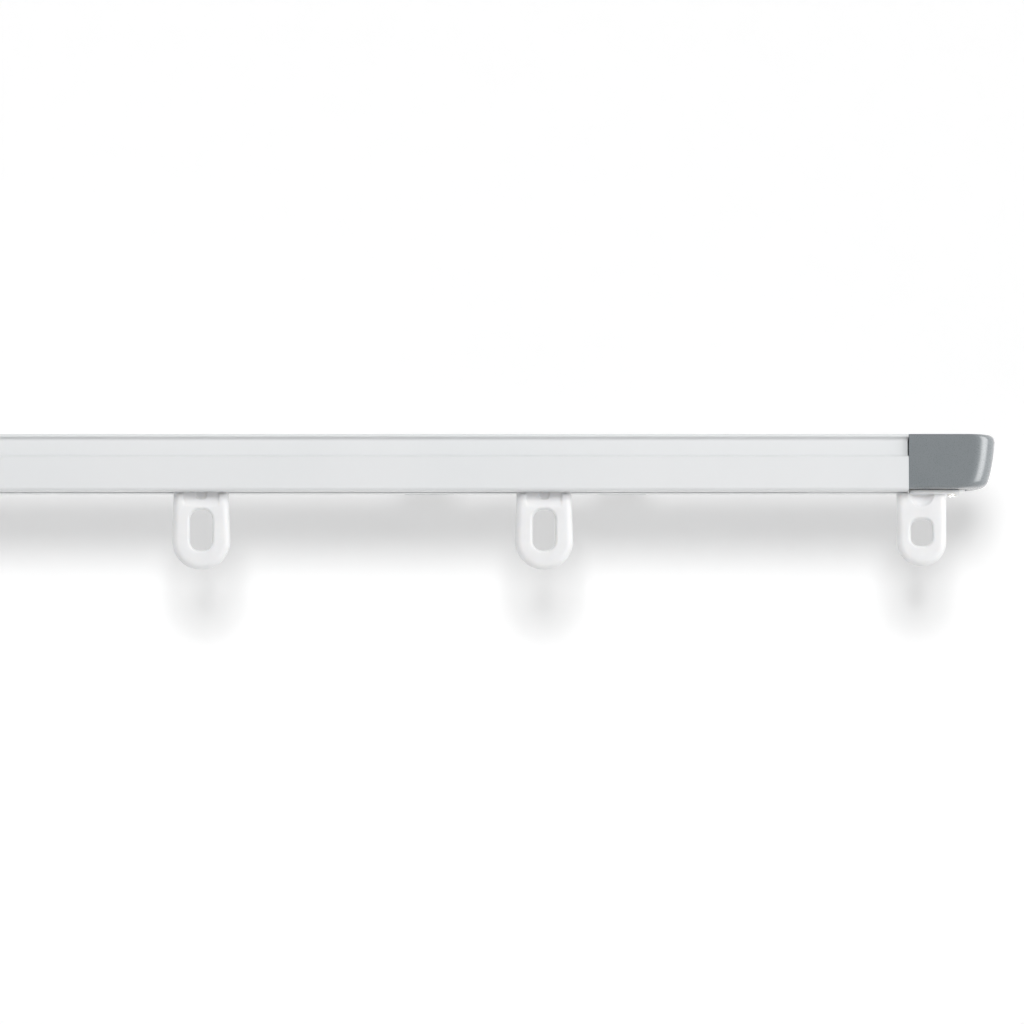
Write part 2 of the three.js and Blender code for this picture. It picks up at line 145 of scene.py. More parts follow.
def inset(points, distance):
    """The outline moved to its left by that distance, which is into the solid."""
    moved = []
    for i, point in enumerate(points):
        before = (point - points[i - 1]).normalized()
        after = (points[(i + 1) % len(points)] - point).normalized()
        left_before = Vector((-before.y, before.x))
        left_after = Vector((-after.y, after.x))
        miter = (left_before + left_after) / (1 + left_before.dot(left_after))
        moved.append(point + miter * distance)
    return moved


# ---------------------------------------------------------------- meshes

TURNED = {
    "X": lambda u, v, h: (h, u, v),
    "Y": lambda u, v, h: (u, h, v),
    "Z": lambda u, v, h: (u, v, h),
}


def make_object(name, bm):
    """An object in metres from a bmesh in millimetres, which it uses up."""
    bmesh.ops.recalc_face_normals(bm, faces=bm.faces)
    bmesh.ops.scale(bm, vec=(MM, MM, MM), verts=bm.verts)
    mesh = bpy.data.meshes.new(name)
    bm.to_mesh(mesh)
    bm.free()
    obj = bpy.data.objects.new(name, mesh)
    bpy.context.scene.collection.objects.link(obj)
    return obj


def smooth(obj, sharp_degrees=32):
    """Smooth shading that keeps large flat faces flat right up to their rounded rims."""
    obj.data.shade_smooth()
    obj.data.set_sharp_from_angle(angle=math.radians(sharp_degrees))
    weighted = obj.modifiers.new("weighted", "WEIGHTED_NORMAL")
    weighted.keep_sharp = True
    return bake(obj)


def plate(name, axis, outer, low, high, holes=(), edge=0.0, steps=4, hole_share=1.0):
    """A plate with that outline across the axis, between two heights, its rims rounded.

    A hole's rim is rounded over that share of the width of the outer one.
    """
    loops = [wound(outer, False)] + [wound(hole, True) for hole in holes]
    turns = [math.pi / 2 * k / steps for k in range(steps + 1)] if edge else [0]
    rim = [(edge * (1 - math.sin(a)), edge * (1 - math.cos(a))) for a in turns]
    levels = [(back, low + rise) for back, rise in rim]
    levels += [(back, high - rise) for back, rise in reversed(rim)]
    bm = bmesh.new()
    shares = [1.0] + [hole_share] * len(holes)
    rings = [
        [
            [bm.verts.new(TURNED[axis](p.x, p.y, h)) for p in inset(loop, back * share)]
            for loop, share in zip(loops, shares)
        ]
        for back, h in levels
    ]
    for lower, upper in zip(rings, rings[1:]):
        for a, b in zip(lower, upper):
            for i in range(len(a)):
                bm.faces.new((a[i - 1], a[i], b[i], b[i - 1]))
    for ring in (rings[0], rings[-1]):
        rims = [bm.edges.get((loop[i - 1], loop[i])) for loop in ring for i in range(len(loop))]
        bmesh.ops.triangle_fill(bm, use_beauty=True, edges=rims)
    return make_object(name, bm)


def lofted(name, rings):
    """A closed skin through rings of points of one length, its two ends filled flat."""
    bm = bmesh.new()
    rows = [[bm.verts.new(p) for p in ring] for ring in rings]
    for lower, upper in zip(rows, rows[1:]):
        for i in range(len(lower)):
            bm.faces.new((lower[i - 1], lower[i], upper[i], upper[i - 1]))
    bm.faces.new(rows[0])
    bm.faces.new(rows[-1])
    return make_object(name, bm)


def bake(obj):
    """Applies the object's modifiers to its mesh."""
    evaluated = obj.evaluated_get(bpy.context.evaluated_depsgraph_get())
    mesh = bpy.data.meshes.new_from_object(evaluated)
    old = obj.data
    obj.modifiers.clear()
    obj.data = mesh
    bpy.data.meshes.remove(old)
    return obj


def combine(obj, operation, *tools):
    for tool in tools:
        modifier = obj.modifiers.new("combine", "BOOLEAN")
        modifier.operation = operation
        modifier.solver = "EXACT"
        modifier.object = tool
        bake(obj)
        bpy.data.objects.remove(tool)
    return obj


def eased(obj, width, segments=3):
    """Rounds the sharp edges that cutting left."""
    modifier = obj.modifiers.new("eased", "BEVEL")
    modifier.width = width * MM
    modifier.segments = segments
    modifier.limit_method = "ANGLE"
    modifier.angle_limit = math.radians(38)
    modifier.use_clamp_overlap = True
    return bake(obj)


def dish(name, x, z, radius, depth, face):
    """A tool that presses a round hollow into a face at y = face, seen from -Y."""
    steps = 12
    rings = [[(p.x, face - PROUD, p.y) for p in circle(x, z, radius)]]
    for k in range(steps):
        turn = math.pi / 2 * k / steps
        y = face + depth * math.sin(turn)
        rings.append([(p.x, y, p.y) for p in circle(x, z, radius * math.cos(turn))])
    return lofted(name, rings)


def moulded(obj, softness, voxel=0.16, keep=0.3):
    """Blends a built-up solid into one soft moulded skin, then thins its flat stretches.

    The skin draws in by about 0.2 mm at thin rims, which the shapes below allow for.
    """
    remesh = obj.modifiers.new("remesh", "REMESH")
    remesh.mode = "VOXEL"
    remesh.voxel_size = voxel * MM
    relax = obj.modifiers.new("relax", "SMOOTH")
    relax.factor = 0.5
    relax.iterations = softness
    thin = obj.modifiers.new("thin", "DECIMATE")
    thin.ratio = keep
    bake(obj)
    obj.data.shade_smooth()
    return obj


def mirrored(obj, name):
    """The same piece for the left end of the rail."""
    twin = obj.copy()
    twin.data = obj.data.copy()
    twin.name = name
    twin.data.transform(Matrix.Scale(-1, 4, (1, 0, 0)))
    twin.data.flip_normals()
    bpy.context.scene.collection.objects.link(twin)
    return twin


def moved(obj, x=0.0, y=0.0, z=0.0):
    obj.location = Vector((x, y, z)) * MM
    return obj


# ---------------------------------------------------------------- finishes


def finish_nodes(name, colour, roughness, metallic=0.0):
    material = bpy.data.materials.new(name)
    material.use_nodes = True
    nodes = material.node_tree.nodes
    shader = nodes["Principled BSDF"]
    shader.inputs["Base Color"].default_value = (*colour, 1)
    shader.inputs["Roughness"].default_value = roughness
    shader.inputs["Metallic"].default_value = metallic
    return material, nodes, material.node_tree.links, shader


def object_noise(nodes, links, scale, detail=3.0, stretch=(1, 1, 1)):
    """Noise in the object's own metres: scale is its number of lumps in a metre."""
    place = nodes.new("ShaderNodeTexCoord")
    mapping = nodes.new("ShaderNodeMapping")
    mapping.inputs["Scale"].default_value = stretch
    noise = nodes.new("ShaderNodeTexNoise")
    noise.inputs["Scale"].default_value = scale
    noise.inputs["Detail"].default_value = detail
    links.new(place.outputs["Object"], mapping.inputs["Vector"])
    links.new(mapping.outputs["Vector"], noise.inputs["Vector"])
    return noise.outputs["Fac"]


def tinted(nodes, links, factor, low, high, target, span=(0.35, 0.65)):
    """A colour that drifts between two tones with a factor."""
    ramp = nodes.new("ShaderNodeValToRGB")
    ramp.color_ramp.elements[0].position = span[0]
    ramp.color_ramp.elements[1].position = span[1]
    ramp.color_ramp.elements[0].color = (*low, 1)
    ramp.color_ramp.elements[1].color = (*high, 1)
    links.new(factor, ramp.inputs["Fac"])
    links.new(ramp.outputs["Color"], target)


def ranged(nodes, links, factor, low, high, target):
    """A number that drifts between two values with a factor."""
    spread = nodes.new("ShaderNodeMapRange")
    spread.inputs["From Min"].default_value = 0.3
    spread.inputs["From Max"].default_value = 0.7
    spread.inputs["To Min"].default_value = low
    spread.inputs["To Max"].default_value = high
    links.new(factor, spread.inputs["Value"])
    links.new(spread.outputs["Result"], target)


def bumped(nodes, links, shader, heights):
    """Bumps laid over each other, each a (height, depth in metres) pair."""
    below = None
    for height, depth in heights:
        bump = nodes.new("ShaderNodeBump")
        bump.inputs["Strength"].default_value = 1.0
        bump.inputs["Distance"].default_value = depth
        links.new(height, bump.inputs["Height"])
        if below:
            links.new(below, bump.inputs["Normal"])
        below = bump.outputs["Normal"]
    links.new(below, shader.inputs["Normal"])


def rail_white():
    """Satin white powder coat over drawn aluminium: fine orange peel and faint die lines."""
    material, nodes, links, shader = finish_nodes("rail_white", (0.796, 0.808, 0.816), 0.4)
    shader.inputs["Coat Weight"].default_value = 0.15
    shader.inputs["Coat Roughness"].default_value = 0.3
    drift = object_noise(nodes, links, 25)
    low, high = (0.788, 0.802, 0.811), (0.805, 0.815, 0.823)
    tinted(nodes, links, drift, low, high, shader.inputs["Base Color"])
    peel = object_noise(nodes, links, 1400, 2)
    ranged(nodes, links, peel, 0.34, 0.46, shader.inputs["Roughness"])
    die_lines = object_noise(nodes, links, 900, 2, (0.004, 1, 1))
    bumped(nodes, links, shader, [(peel, 0.000004), (die_lines, 0.000006)])
    return material


def nylon_white():
    """Moulded white nylon: light sinks in a little, and the skin is faintly uneven."""
    material, nodes, links, shader = finish_nodes("nylon_white", (0.86, 0.862, 0.868), 0.36)
    shader.inputs["Subsurface Weight"].default_value = 0.25
    shader.inputs["Subsurface Radius"].default_value = (1.0, 0.9, 0.8)
    shader.inputs["Subsurface Scale"].default_value = 0.0012
    drift = object_noise(nodes, links, 160)
    low, high = (0.845, 0.848, 0.856), (0.88, 0.882, 0.886)
    tinted(nodes, links, drift, low, high, shader.inputs["Base Color"])
    skin = object_noise(nodes, links, 2200, 3)
    ranged(nodes, links, skin, 0.3, 0.42, shader.inputs["Roughness"])
    flow = object_noise(nodes, links, 350, 2)
    bumped(nodes, links, shader, [(skin, 0.000006), (flow, 0.00003)])
    return material


def cap_grey():
    """Satin grey plastic with the fine spark texture of its mould."""
    material, nodes, links, shader = finish_nodes("cap_grey", (0.172, 0.19, 0.202), 0.28)
    shader.inputs["IOR"].default_value = 1.8
    shader.inputs["Coat Weight"].default_value = 1.0
    shader.inputs["Coat Roughness"].default_value = 0.26
    drift = object_noise(nodes, links, 90)
    low, high = (0.165, 0.185, 0.197), (0.177, 0.196, 0.207)
    tinted(nodes, links, drift, low, high, shader.inputs["Base Color"])
    spark = object_noise(nodes, links, 4500, 3)
    ranged(nodes, links, spark, 0.26, 0.32, shader.inputs["Roughness"])
    bumped(nodes, links, shader, [(spark, 0.0000012)])
    return material


def bracket_white():
    """White enamel on bent steel, a little thicker and softer than the rail's coat."""
    material, nodes, links, shader = finish_nodes("bracket_white", (0.74, 0.745, 0.745), 0.45)
    drift = object_noise(nodes, links, 120)
    low, high = (0.72, 0.725, 0.722), (0.76, 0.765, 0.766)
    tinted(nodes, links, drift, low, high, shader.inputs["Base Color"])
    peel = object_noise(nodes, links, 1100, 2)
    ranged(nodes, links, peel, 0.36, 0.52, shader.inputs["Roughness"])
    bumped(nodes, links, shader, [(peel, 0.00001)])
    return material


def zinc_steel():
    """Bright zinc plate: bluish and straw patches over a finely pitted surface."""
    material, nodes, links, shader = finish_nodes("zinc_steel", (0.62, 0.63, 0.65), 0.3, 1.0)
    patches = object_noise(nodes, links, 260, 4)
    low, high = (0.56, 0.59, 0.63), (0.7, 0.68, 0.63)
    tinted(nodes, links, patches, low, high, shader.inputs["Base Color"])
    pits = object_noise(nodes, links, 2600, 4)
    ranged(nodes, links, pits, 0.22, 0.42, shader.inputs["Roughness"])
    bumped(nodes, links, shader, [(pits, 0.00001)])
    return material


FINISHES = {
    make.__name__: make() for make in (rail_white, nylon_white, cap_grey, bracket_white, zinc_steel)
}


def dress(obj, node, body, slot):
    """The piece stands for that CAD node, rides with that body and takes that finish."""
    obj.data.materials.clear()
    obj.data.materials.append(FINISHES[slot])
    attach(obj, body)
    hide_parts(node)


# ---------------------------------------------------------------- rail


def build_rail():
    """One drawn section: recess and band in front, channel below, T-slot and chamber behind."""
    recess_back = RAIL_FRONT + RECESS
    wall_lean, band_lean, band_bend = 0.15, 0.05, -0.4
    brow, top_fillet, bottom_fillet, shelf, chin = 0.39, 0.9, 0.55, 0.4, 1.1
    edge, mouth, inner, soft = 0.2, 0.25, 0.3, 0.4
    skirt = 0.5
    lip = RAIL_BACK - SKIN
    tslot_floor = lip - TSLOT_DEPTH
    tslot_z = CAM_AXES["right"].z
    cavity, opening = 2.9, 1.8
    outline = rounded([
        (RAIL_FRONT, RAIL_TOP, brow),
        (RAIL_FRONT, RAIL_TOP - LIP, brow),
        (recess_back + wall_lean, RAIL_TOP - LIP, top_fillet),
        (recess_back - wall_lean, RECESS_FLOOR, bottom_fillet),
        (RAIL_FRONT + band_lean, RECESS_FLOOR, shelf),
        (RAIL_FRONT, band_bend, 0),
        (RAIL_FRONT, RAIL_BOTTOM, chin),
        (CHANNEL_Y - SLOT_HALF, RAIL_BOTTOM, edge),
        (CHANNEL_Y - SLOT_HALF, CHANNEL_FLOOR, edge),
        (CHANNEL_Y - CHANNEL_HALF, CHANNEL_FLOOR, inner),
        (CHANNEL_Y - CHANNEL_HALF, CHANNEL_TOP, soft),
        (CHANNEL_Y + CHANNEL_HALF, CHANNEL_TOP, soft),
        (CHANNEL_Y + CHANNEL_HALF, CHANNEL_FLOOR, inner),
        (CHANNEL_Y + SLOT_HALF, CHANNEL_FLOOR, edge),
        (CHANNEL_Y + SLOT_HALF, RAIL_BOTTOM, edge),
        (RAIL_BACK, RAIL_BOTTOM, skirt),
        (RAIL_BACK, tslot_z - opening, mouth),
        (lip, tslot_z - opening, mouth),
        (lip, tslot_z - cavity, edge),
        (tslot_floor, tslot_z - cavity, inner),
        (tslot_floor, tslot_z + cavity, inner),
        (lip, tslot_z + cavity, edge),
        (lip, tslot_z + opening, mouth),
        (RAIL_BACK, tslot_z + opening, mouth),
        (RAIL_BACK, RAIL_TOP, soft),
    ])
    chamber = rectangle(
        recess_back + SKIN, CHAMBER_FLOOR, tslot_floor - SKIN, RAIL_TOP - SKIN, soft
    )
    rail = plate("rail", "X", outline, -RAIL_END, RAIL_END, [chamber], edge=0.06, steps=2)
    spare = 0.1
    nick_front, nick_back = RAIL_FRONT + 0.9, recess_back + SKIN + spare
    nick_low, nick_high = RECESS_FLOOR + spare, RAIL_TOP - LIP - spare
    for sign in SIDES.values():
        x0, x1 = sorted((sign * (RAIL_END - END_NICK), sign * (RAIL_END + PROUD)))
        nick = rectangle(x0, nick_front, x1, nick_back)
        combine(rail, "DIFFERENCE", plate("nick", "Z", nick, nick_low, nick_high))
    dress(smooth(rail), "track_profile", "track", "rail_white")


# ---------------------------------------------------------------- gliders and end stops

EYE_HALF = 2.0
EYE_EDGE = 1.7
EYE_HOLE_SHARE = 0.35

# Holes as (width, height, middle z, corner radius).
GLIDER_HOLE = (5.45, 10.0, -16.3, 2.3)
STOP_HOLE = (5.2, 6.4, -16.93, 1.9)


def eye(name, x, top, half_top, radius, bottom, hole):
    """A flat eye about y = 0: sides that run down to a round end, and soft rims all round."""
    arc_z = bottom + radius
    steps = 36
    turns = [math.pi + math.pi * k / steps for k in range(steps + 1)]
    outline = [Vector((x - half_top, top))]
    outline += [Vector((x + radius * math.cos(a), arc_z + radius * math.sin(a))) for a in turns]
    outline.append(Vector((x + half_top, top)))
    width, height, z, corner = hole
    opening = rectangle(x - width / 2, z - height / 2, x + width / 2, z + height / 2, corner)
    return plate(
        name, "Y", outline, -EYE_HALF, EYE_HALF, [opening], EYE_EDGE, 8, EYE_HOLE_SHARE
    )


def hanging_eye(name, x, top, half_top, radius, bottom, hole):
    """An eye whose rounded top rim is cut off level, so that its faces run up to that height."""
    body = eye(name, x, top + EYE_EDGE, half_top, radius, bottom, hole)
    above = rectangle(x - 2 * radius, -2 * EYE_HALF, x + 2 * radius, 2 * EYE_HALF)
    return combine(body, "DIFFERENCE", plate("above", "Z", above, top, top + 2 * EYE_EDGE))


def build_gliders():
    """A hanging eye, thinned by a pocket on each face, with a web and two legs in the channel."""
    low, high = box(GLIDERS[0])
    half, web = 6.7, 1.5
    ramp_end, ramp_rise, pocket_half = -10.7, 2.4, 4.4
    notch_half, notch_bottom, notch_depth = 1.45, -8.8, 0.3
    corner, leg_corner, leg_edge, running_gap = 0.5, 0.9, 0.3, 0.2
    top = RAIL_BOTTOM - 2 * running_gap
    radius = (high.x - low.x) / 2
    body = hanging_eye("glider", 0, top, half, radius, low.z, GLIDER_HOLE)
    for face in (-1, 1):
        hollow = [
            Vector((face * web, top + 2 * PROUD)),
            Vector((face * web, ramp_end + ramp_rise)),
            Vector((face * EYE_HALF, ramp_end)),
            Vector((face * 2 * EYE_HALF, ramp_end)),
            Vector((face * 2 * EYE_HALF, top + 2 * PROUD)),
        ]
        combine(body, "DIFFERENCE", plate("pocket", "X", hollow, -pocket_half, pocket_half))
    neck_outline = rectangle(-half, -web, half, web, corner)
    neck = plate("neck", "Z", neck_outline, ramp_end + PROUD, high.z - running_gap)
    shoulder = (high.y - low.y) / 2
    legs_outline = rectangle(-half, -shoulder, half, shoulder, leg_corner)
    legs = plate("legs", "Z", legs_outline, CHANNEL_FLOOR + running_gap, high.z, edge=leg_edge)
    combine(body, "UNION", neck, legs)
    notch = rounded([
        (-notch_half, notch_bottom, notch_half - 0.01),
        (notch_half, notch_bottom, notch_half - 0.01),
        (notch_half, 0, 0),
        (-notch_half, 0, 0),
    ])
    for y0, y1 in ((-2 * shoulder, notch_depth - web), (web - notch_depth, 2 * shoulder)):
        combine(body, "DIFFERENCE", plate("notch", "Y", notch, y0, y1))
    moulded(body, 8)
    for node in GLIDERS:
        low, high = box(node)
        twin = bpy.data.objects.new(f"{node}_piece", body.data)
        bpy.context.scene.collection.objects.link(twin)
        moved(twin, (low.x + high.x) / 2, CHANNEL_Y)
        dress(twin, node, node, "nylon_white")
    bpy.data.objects.remove(body)


def build_end_stops():
    """A bar in the channel, a web in the slot, a flange under the cap and a hanging eye.

    Heights are the frame's, x runs outwards from the rail's end and y from the channel's middle.
    """
    low, high = box("end_stop_right")
    inner, outer = low.x - RAIL_END, high.x - RAIL_END
    eye_u, eye_radius, eye_top, corner = 3.2, 6.1, -7.15, 0.8
    bar_half, bar_low, bar_high = 4.5, -5.5, -1.6
    web_half, web_low, web_high = 1.8, -6.6, -5
    flange_half = 3.2
    flange_end, flange_corner, flange_low, flange_high = 12.6, 1.5, -7.5, -6.45
    bowl_z, bowl_radius, bowl_depth = -7.4, 3.1, 1.3
    bore_radius, sink_radius, sink_top = 1.3, 1.55, -7.1
    bar_outline = rectangle(inner, -bar_half, outer, bar_half, corner)
    bar = plate("stop", "Z", bar_outline, bar_low, bar_high, edge=0.3)
    web = plate("web", "Z", rectangle(inner, -web_half, outer, web_half, corner), web_low, web_high)
    flange_outline = rectangle(FIT_GAP, -flange_half, flange_end, flange_half, flange_corner)
    flange = plate("flange", "Z", flange_outline, flange_low, flange_high, edge=0.1)
    hanger = hanging_eye("hanger", eye_u, eye_top, eye_radius, eye_radius, low.z, STOP_HOLE)
    combine(hanger, "DIFFERENCE", dish("bowl", eye_u, bowl_z, bowl_radius, bowl_depth, -EYE_HALF))
    combine(bar, "UNION", web, flange, hanger)
    below = flange_low - 1.5 * PROUD
    sink = plate("sink", "Z", circle(STOP_SCREW_U, 0, sink_radius), below, sink_top)
    bore = plate("bore", "Z", circle(STOP_SCREW_U, 0, bore_radius), below, 0)
    combine(bar, "DIFFERENCE", sink, bore)
    moulded(bar, 6)
    twin = mirrored(bar, "end_stop_left_piece")
    bar.name = "end_stop_right_piece"
    for obj, side in ((bar, "right"), (twin, "left")):
        moved(obj, SIDES[side] * RAIL_END, CHANNEL_Y)
        dress(obj, f"end_stop_{side}", "track", "nylon_white")


# ---------------------------------------------------------------- end caps


def bezier(points, t):
    """A point on the Bezier curve with those control points."""
    while len(points) > 1:
        points = [a.lerp(b, t) for a, b in zip(points, points[1:])]
    return points[0]


def curved(points, steps):
    points = [Vector(p) for p in points]
    return [bezier(points, k / steps) for k in range(steps + 1)]


def cap_skin(start, length):
    """The cap's outside: level sections with a round nose, their tips on a leaning profile.

    The profile's points are x from the rail's end and z, and run from the underside to the top.
    """
    base = RAIL_BOTTOM + 0.6
    belly, chin, brow = (20.8, -0.6), (19.6, -4.1), (length, 5.3)
    profile = curved([(14, base), (17.2, base), (19.2, -5.9), chin], 30)
    profile += curved([chin, belly, brow], 40)[1:]
    profile += curved([brow, (length - 0.1, RAIL_TOP), (length - 1.8, RAIL_TOP)], 24)[1:]
    nose_radius, under_edge, top_edge, back_corner = 5.0, 1.0, 0.12, 0.04

    def margin(rise, edge):
        """How far a rounded edge draws the side in, at that rise above the edge's foot."""
        left = edge - min(max(rise, 0.0), edge)
        return edge - math.sqrt(edge**2 - left**2)

    rings = []
    for tip, z in profile:
        back = margin(z - base, under_edge) + margin(RAIL_TOP - z, top_edge)
        low, high = RAIL_FRONT + back, RAIL_BACK - back
        nose = min(nose_radius, (high - low) / 2 - 0.01)
        corners = [
            (start, low, back_corner),
            (tip, low, nose),
            (tip, high, nose),
            (start, high, back_corner),
        ]
        rings.append([(p.x, p.y, z) for p in rounded(corners, math.radians(3))])
    return lofted("cap", rings)


def build_end_caps():
    """The skin with a tongue for the rail's chamber, and hollow where the end stop goes in."""
    low, high = box("end_cap_right")
    start, socket_end, socket_corner = 0.02, 14.3, 0.3
    tongue_root, tongue_corner = 1.3, 0.6
    pilot_radius, pilot_top = 1.15, 1.5
    cap = cap_skin(start, high.x - RAIL_END)
    tongue_front = RAIL_FRONT + RECESS + SKIN + FIT_GAP
    tongue_back = RAIL_BACK - SKIN - TSLOT_DEPTH - SKIN - FIT_GAP
    tongue_tip = low.x - RAIL_END
    tongue_outline = rectangle(tongue_tip, tongue_front, tongue_root, tongue_back, tongue_corner)
    tongue_top = RAIL_TOP - SKIN - FIT_GAP
    tongue = plate("tongue", "Z", tongue_outline, CHAMBER_FLOOR + FIT_GAP, tongue_top, edge=0.25)
    cuts = []
    for name, half, bottom, top in (
        ("socket", CHANNEL_HALF, CHANNEL_FLOOR, CHANNEL_TOP),
        ("slot", SLOT_HALF, RAIL_BOTTOM - PROUD, CHANNEL_FLOOR + 0.5),
    ):
        front, back = CHANNEL_Y - half, CHANNEL_Y + half
        outline = rectangle(-PROUD, front, socket_end, back, socket_corner)
        cuts.append(plate(name, "Z", outline, bottom, top))
    pilot_outline = circle(STOP_SCREW_U, CHANNEL_Y, pilot_radius)
    cuts.append(plate("pilot", "Z", pilot_outline, CHANNEL_TOP - 0.5, pilot_top))
    combine(cap, "DIFFERENCE", *cuts)
    combine(cap, "UNION", tongue)
    # The tongue stands back behind the nick in the rail's recess.
    relief = rectangle(-0.8, RAIL_FRONT + 2, start - 0.01, RAIL_FRONT + 5)
    combine(cap, "DIFFERENCE", plate("relief", "Z", relief, RECESS_FLOOR, RAIL_TOP - LIP))
    twin = mirrored(cap, "end_cap_left_piece")
    cap.name = "end_cap_right_piece"
    for obj, side in ((cap, "right"), (twin, "left")):
        smooth(obj)
        moved(obj, SIDES[side] * RAIL_END)
        dress(obj, f"end_cap_{side}", "track", "cap_grey")


# ---------------------------------------------------------------- screws


def cross_recess(size, depth, front):
    """A tapering cross for a driver, entering a head whose crown is at y = front."""
    reach, blade, floor_share = 0.5 * size, 0.16 * size, 0.45
    arm = [(blade, blade), (reach, blade), (reach, -blade)]
    plus = []
    for quarter in range(4):
        turn = Matrix.Rotation(-quarter * math.pi / 2, 2)
        plus += [turn @ Vector(corner) for corner in arm]
    rings = []
    for y, scale in ((front - PROUD, 1.0), (front, 1.0), (front + depth, floor_share)):
        rings.append([(p.x * scale, y, p.y * scale) for p in plus])
    return lofted("recess", rings)


def screw(name, head_radius, head_height, core, crest, pitch, length, point):
    """A pan-head screw along +Y, its head's underside at y = 0, with its thread cut as a helix."""
    sides = 40
    turns = [2 * math.pi * k / sides for k in range(sides)]
    rim, neck_end, thread_start = 0.12, 0.8, 1.0
    ridge_half, ridge_gain, tip_share = 0.22, 1.3, 0.06

    def ring(y, radius):
        return [(radius * math.cos(a), y, radius * math.sin(a)) for a in turns]

    def threaded(y):
        taper = min(1.0, (length - y) / point + tip_share)
        row = []
        for a in turns:
            phase = (y / pitch - a / (2 * math.pi)) % 1
            ridge = max(0.0, 1 - abs(phase - 0.5) / ridge_half)
            radius = (core + (crest - core) * min(1.0, ridge * ridge_gain)) * taper
            row.append((radius * math.cos(a), y, radius * math.sin(a)))
        return row

    crown_steps, crown_share = 8, 0.7
    rings = [ring(-head_height, rim * head_radius)]
    for k in range(1, crown_steps + 1):
        a = math.pi / 2 * k / crown_steps
        rise = head_height * (crown_share * math.cos(a) + 1 - crown_share)
        rings.append(ring(-rise, head_radius * math.sin(a)))
    rings += [ring(-rim, head_radius), ring(0, head_radius - rim)]
    rings += [ring(0, core), ring(neck_end, core)]
    step = pitch / 10
    count = int((length - thread_start) / step)
    rings += [threaded(thread_start + step * k) for k in range(count)]
    rings.append(ring(length, 0.03 * core))
    body = lofted(name, rings)
    recess = cross_recess(head_radius * 1.15, head_height * 0.75, -head_height)
    return smooth(combine(body, "DIFFERENCE", recess), 40)


def build_screws():
    low, high = box("wall_screw_left_1")
    underside = -1.55
    pattern = screw(
        "wall_screw",
        head_radius=3.5,
        head_height=underside - low.y,
        core=1.1,
        crest=1.58,
        pitch=1.5,
        length=high.y - underside,
        point=4.0,
    )
    for node in (n for n in frame["nodes"] if n.startswith("wall_screw_")):
        low, high = box(node)
        twin = bpy.data.objects.new(f"{node}_piece", pattern.data)
        bpy.context.scene.collection.objects.link(twin)
        moved(twin, (low.x + high.x) / 2, underside, (low.z + high.z) / 2)
        dress(twin, node, "track", "zinc_steel")
    bpy.data.objects.remove(pattern)
    for side in SIDES:
        node = f"stop_screw_{side}"
        low, high = box(node)
        head = 0.8
        pin = screw(
            f"{node}_piece",
            head_radius=1.4,
            head_height=head,
            core=0.85,
            crest=1.08,
            pitch=0.8,
            length=high.z - low.z - head,
            point=1.0,
        )
        pin.data.transform(Matrix.Rotation(math.pi / 2, 4, "X"))
        moved(pin, (low.x + high.x) / 2, CHANNEL_Y, low.z + head)
        dress(pin, node, "track", "zinc_steel")


# ---------------------------------------------------------------- brackets


def build_bracket(side):
    low, high = box(f"bracket_{side}")
    axis = CAM_AXES[side]
    left, right = low.x - axis.x, high.x - axis.x
    foot, steel, bend, inside = 12.0, 1.5, 2.1, 0.6
    hole_inset, hole_radius, cam_hole_radius = 6.5, 2.1, 1.9
    blank_corner, soft_edge = 1.8, 0.18
    pad_left, pad_right, front = left + foot, right - foot, low.y
    plan = rounded([
        (left, -steel, 0),
        (pad_left, -steel, inside),
        (pad_left, front, bend),
        (pad_right, front, bend),
        (pad_right, -steel, inside),
        (right, -steel, 0),
        (right, 0, 0),
        (pad_right - steel, 0, bend),
        (pad_right - steel, front + steel, inside),
        (pad_left + steel, front + steel, inside),
        (pad_left + steel, 0, bend),
        (left, 0, 0),
    ])
    body = plate(f"bracket_{side}_piece", "Z", plan, low.z, high.z)
    blank_outline = rectangle(left, low.z, right, high.z, blank_corner)
    combine(body, "INTERSECT", plate("blank", "Y", blank_outline, front - PROUD, PROUD))
    cam_outline = circle(0, axis.z, cam_hole_radius)
    holes = [plate("hole", "Y", cam_outline, front - PROUD, front + steel + PROUD)]
    for x in (pad_left - hole_inset, pad_right + hole_inset):
        holes.append(plate("hole", "Y", circle(x, 0, hole_radius), -steel - PROUD, PROUD))
    combine(body, "DIFFERENCE", *holes)
    smooth(eased(body, soft_edge))
    moved(body, axis.x)
    dress(body, f"bracket_{side}", "track", "bracket_white")


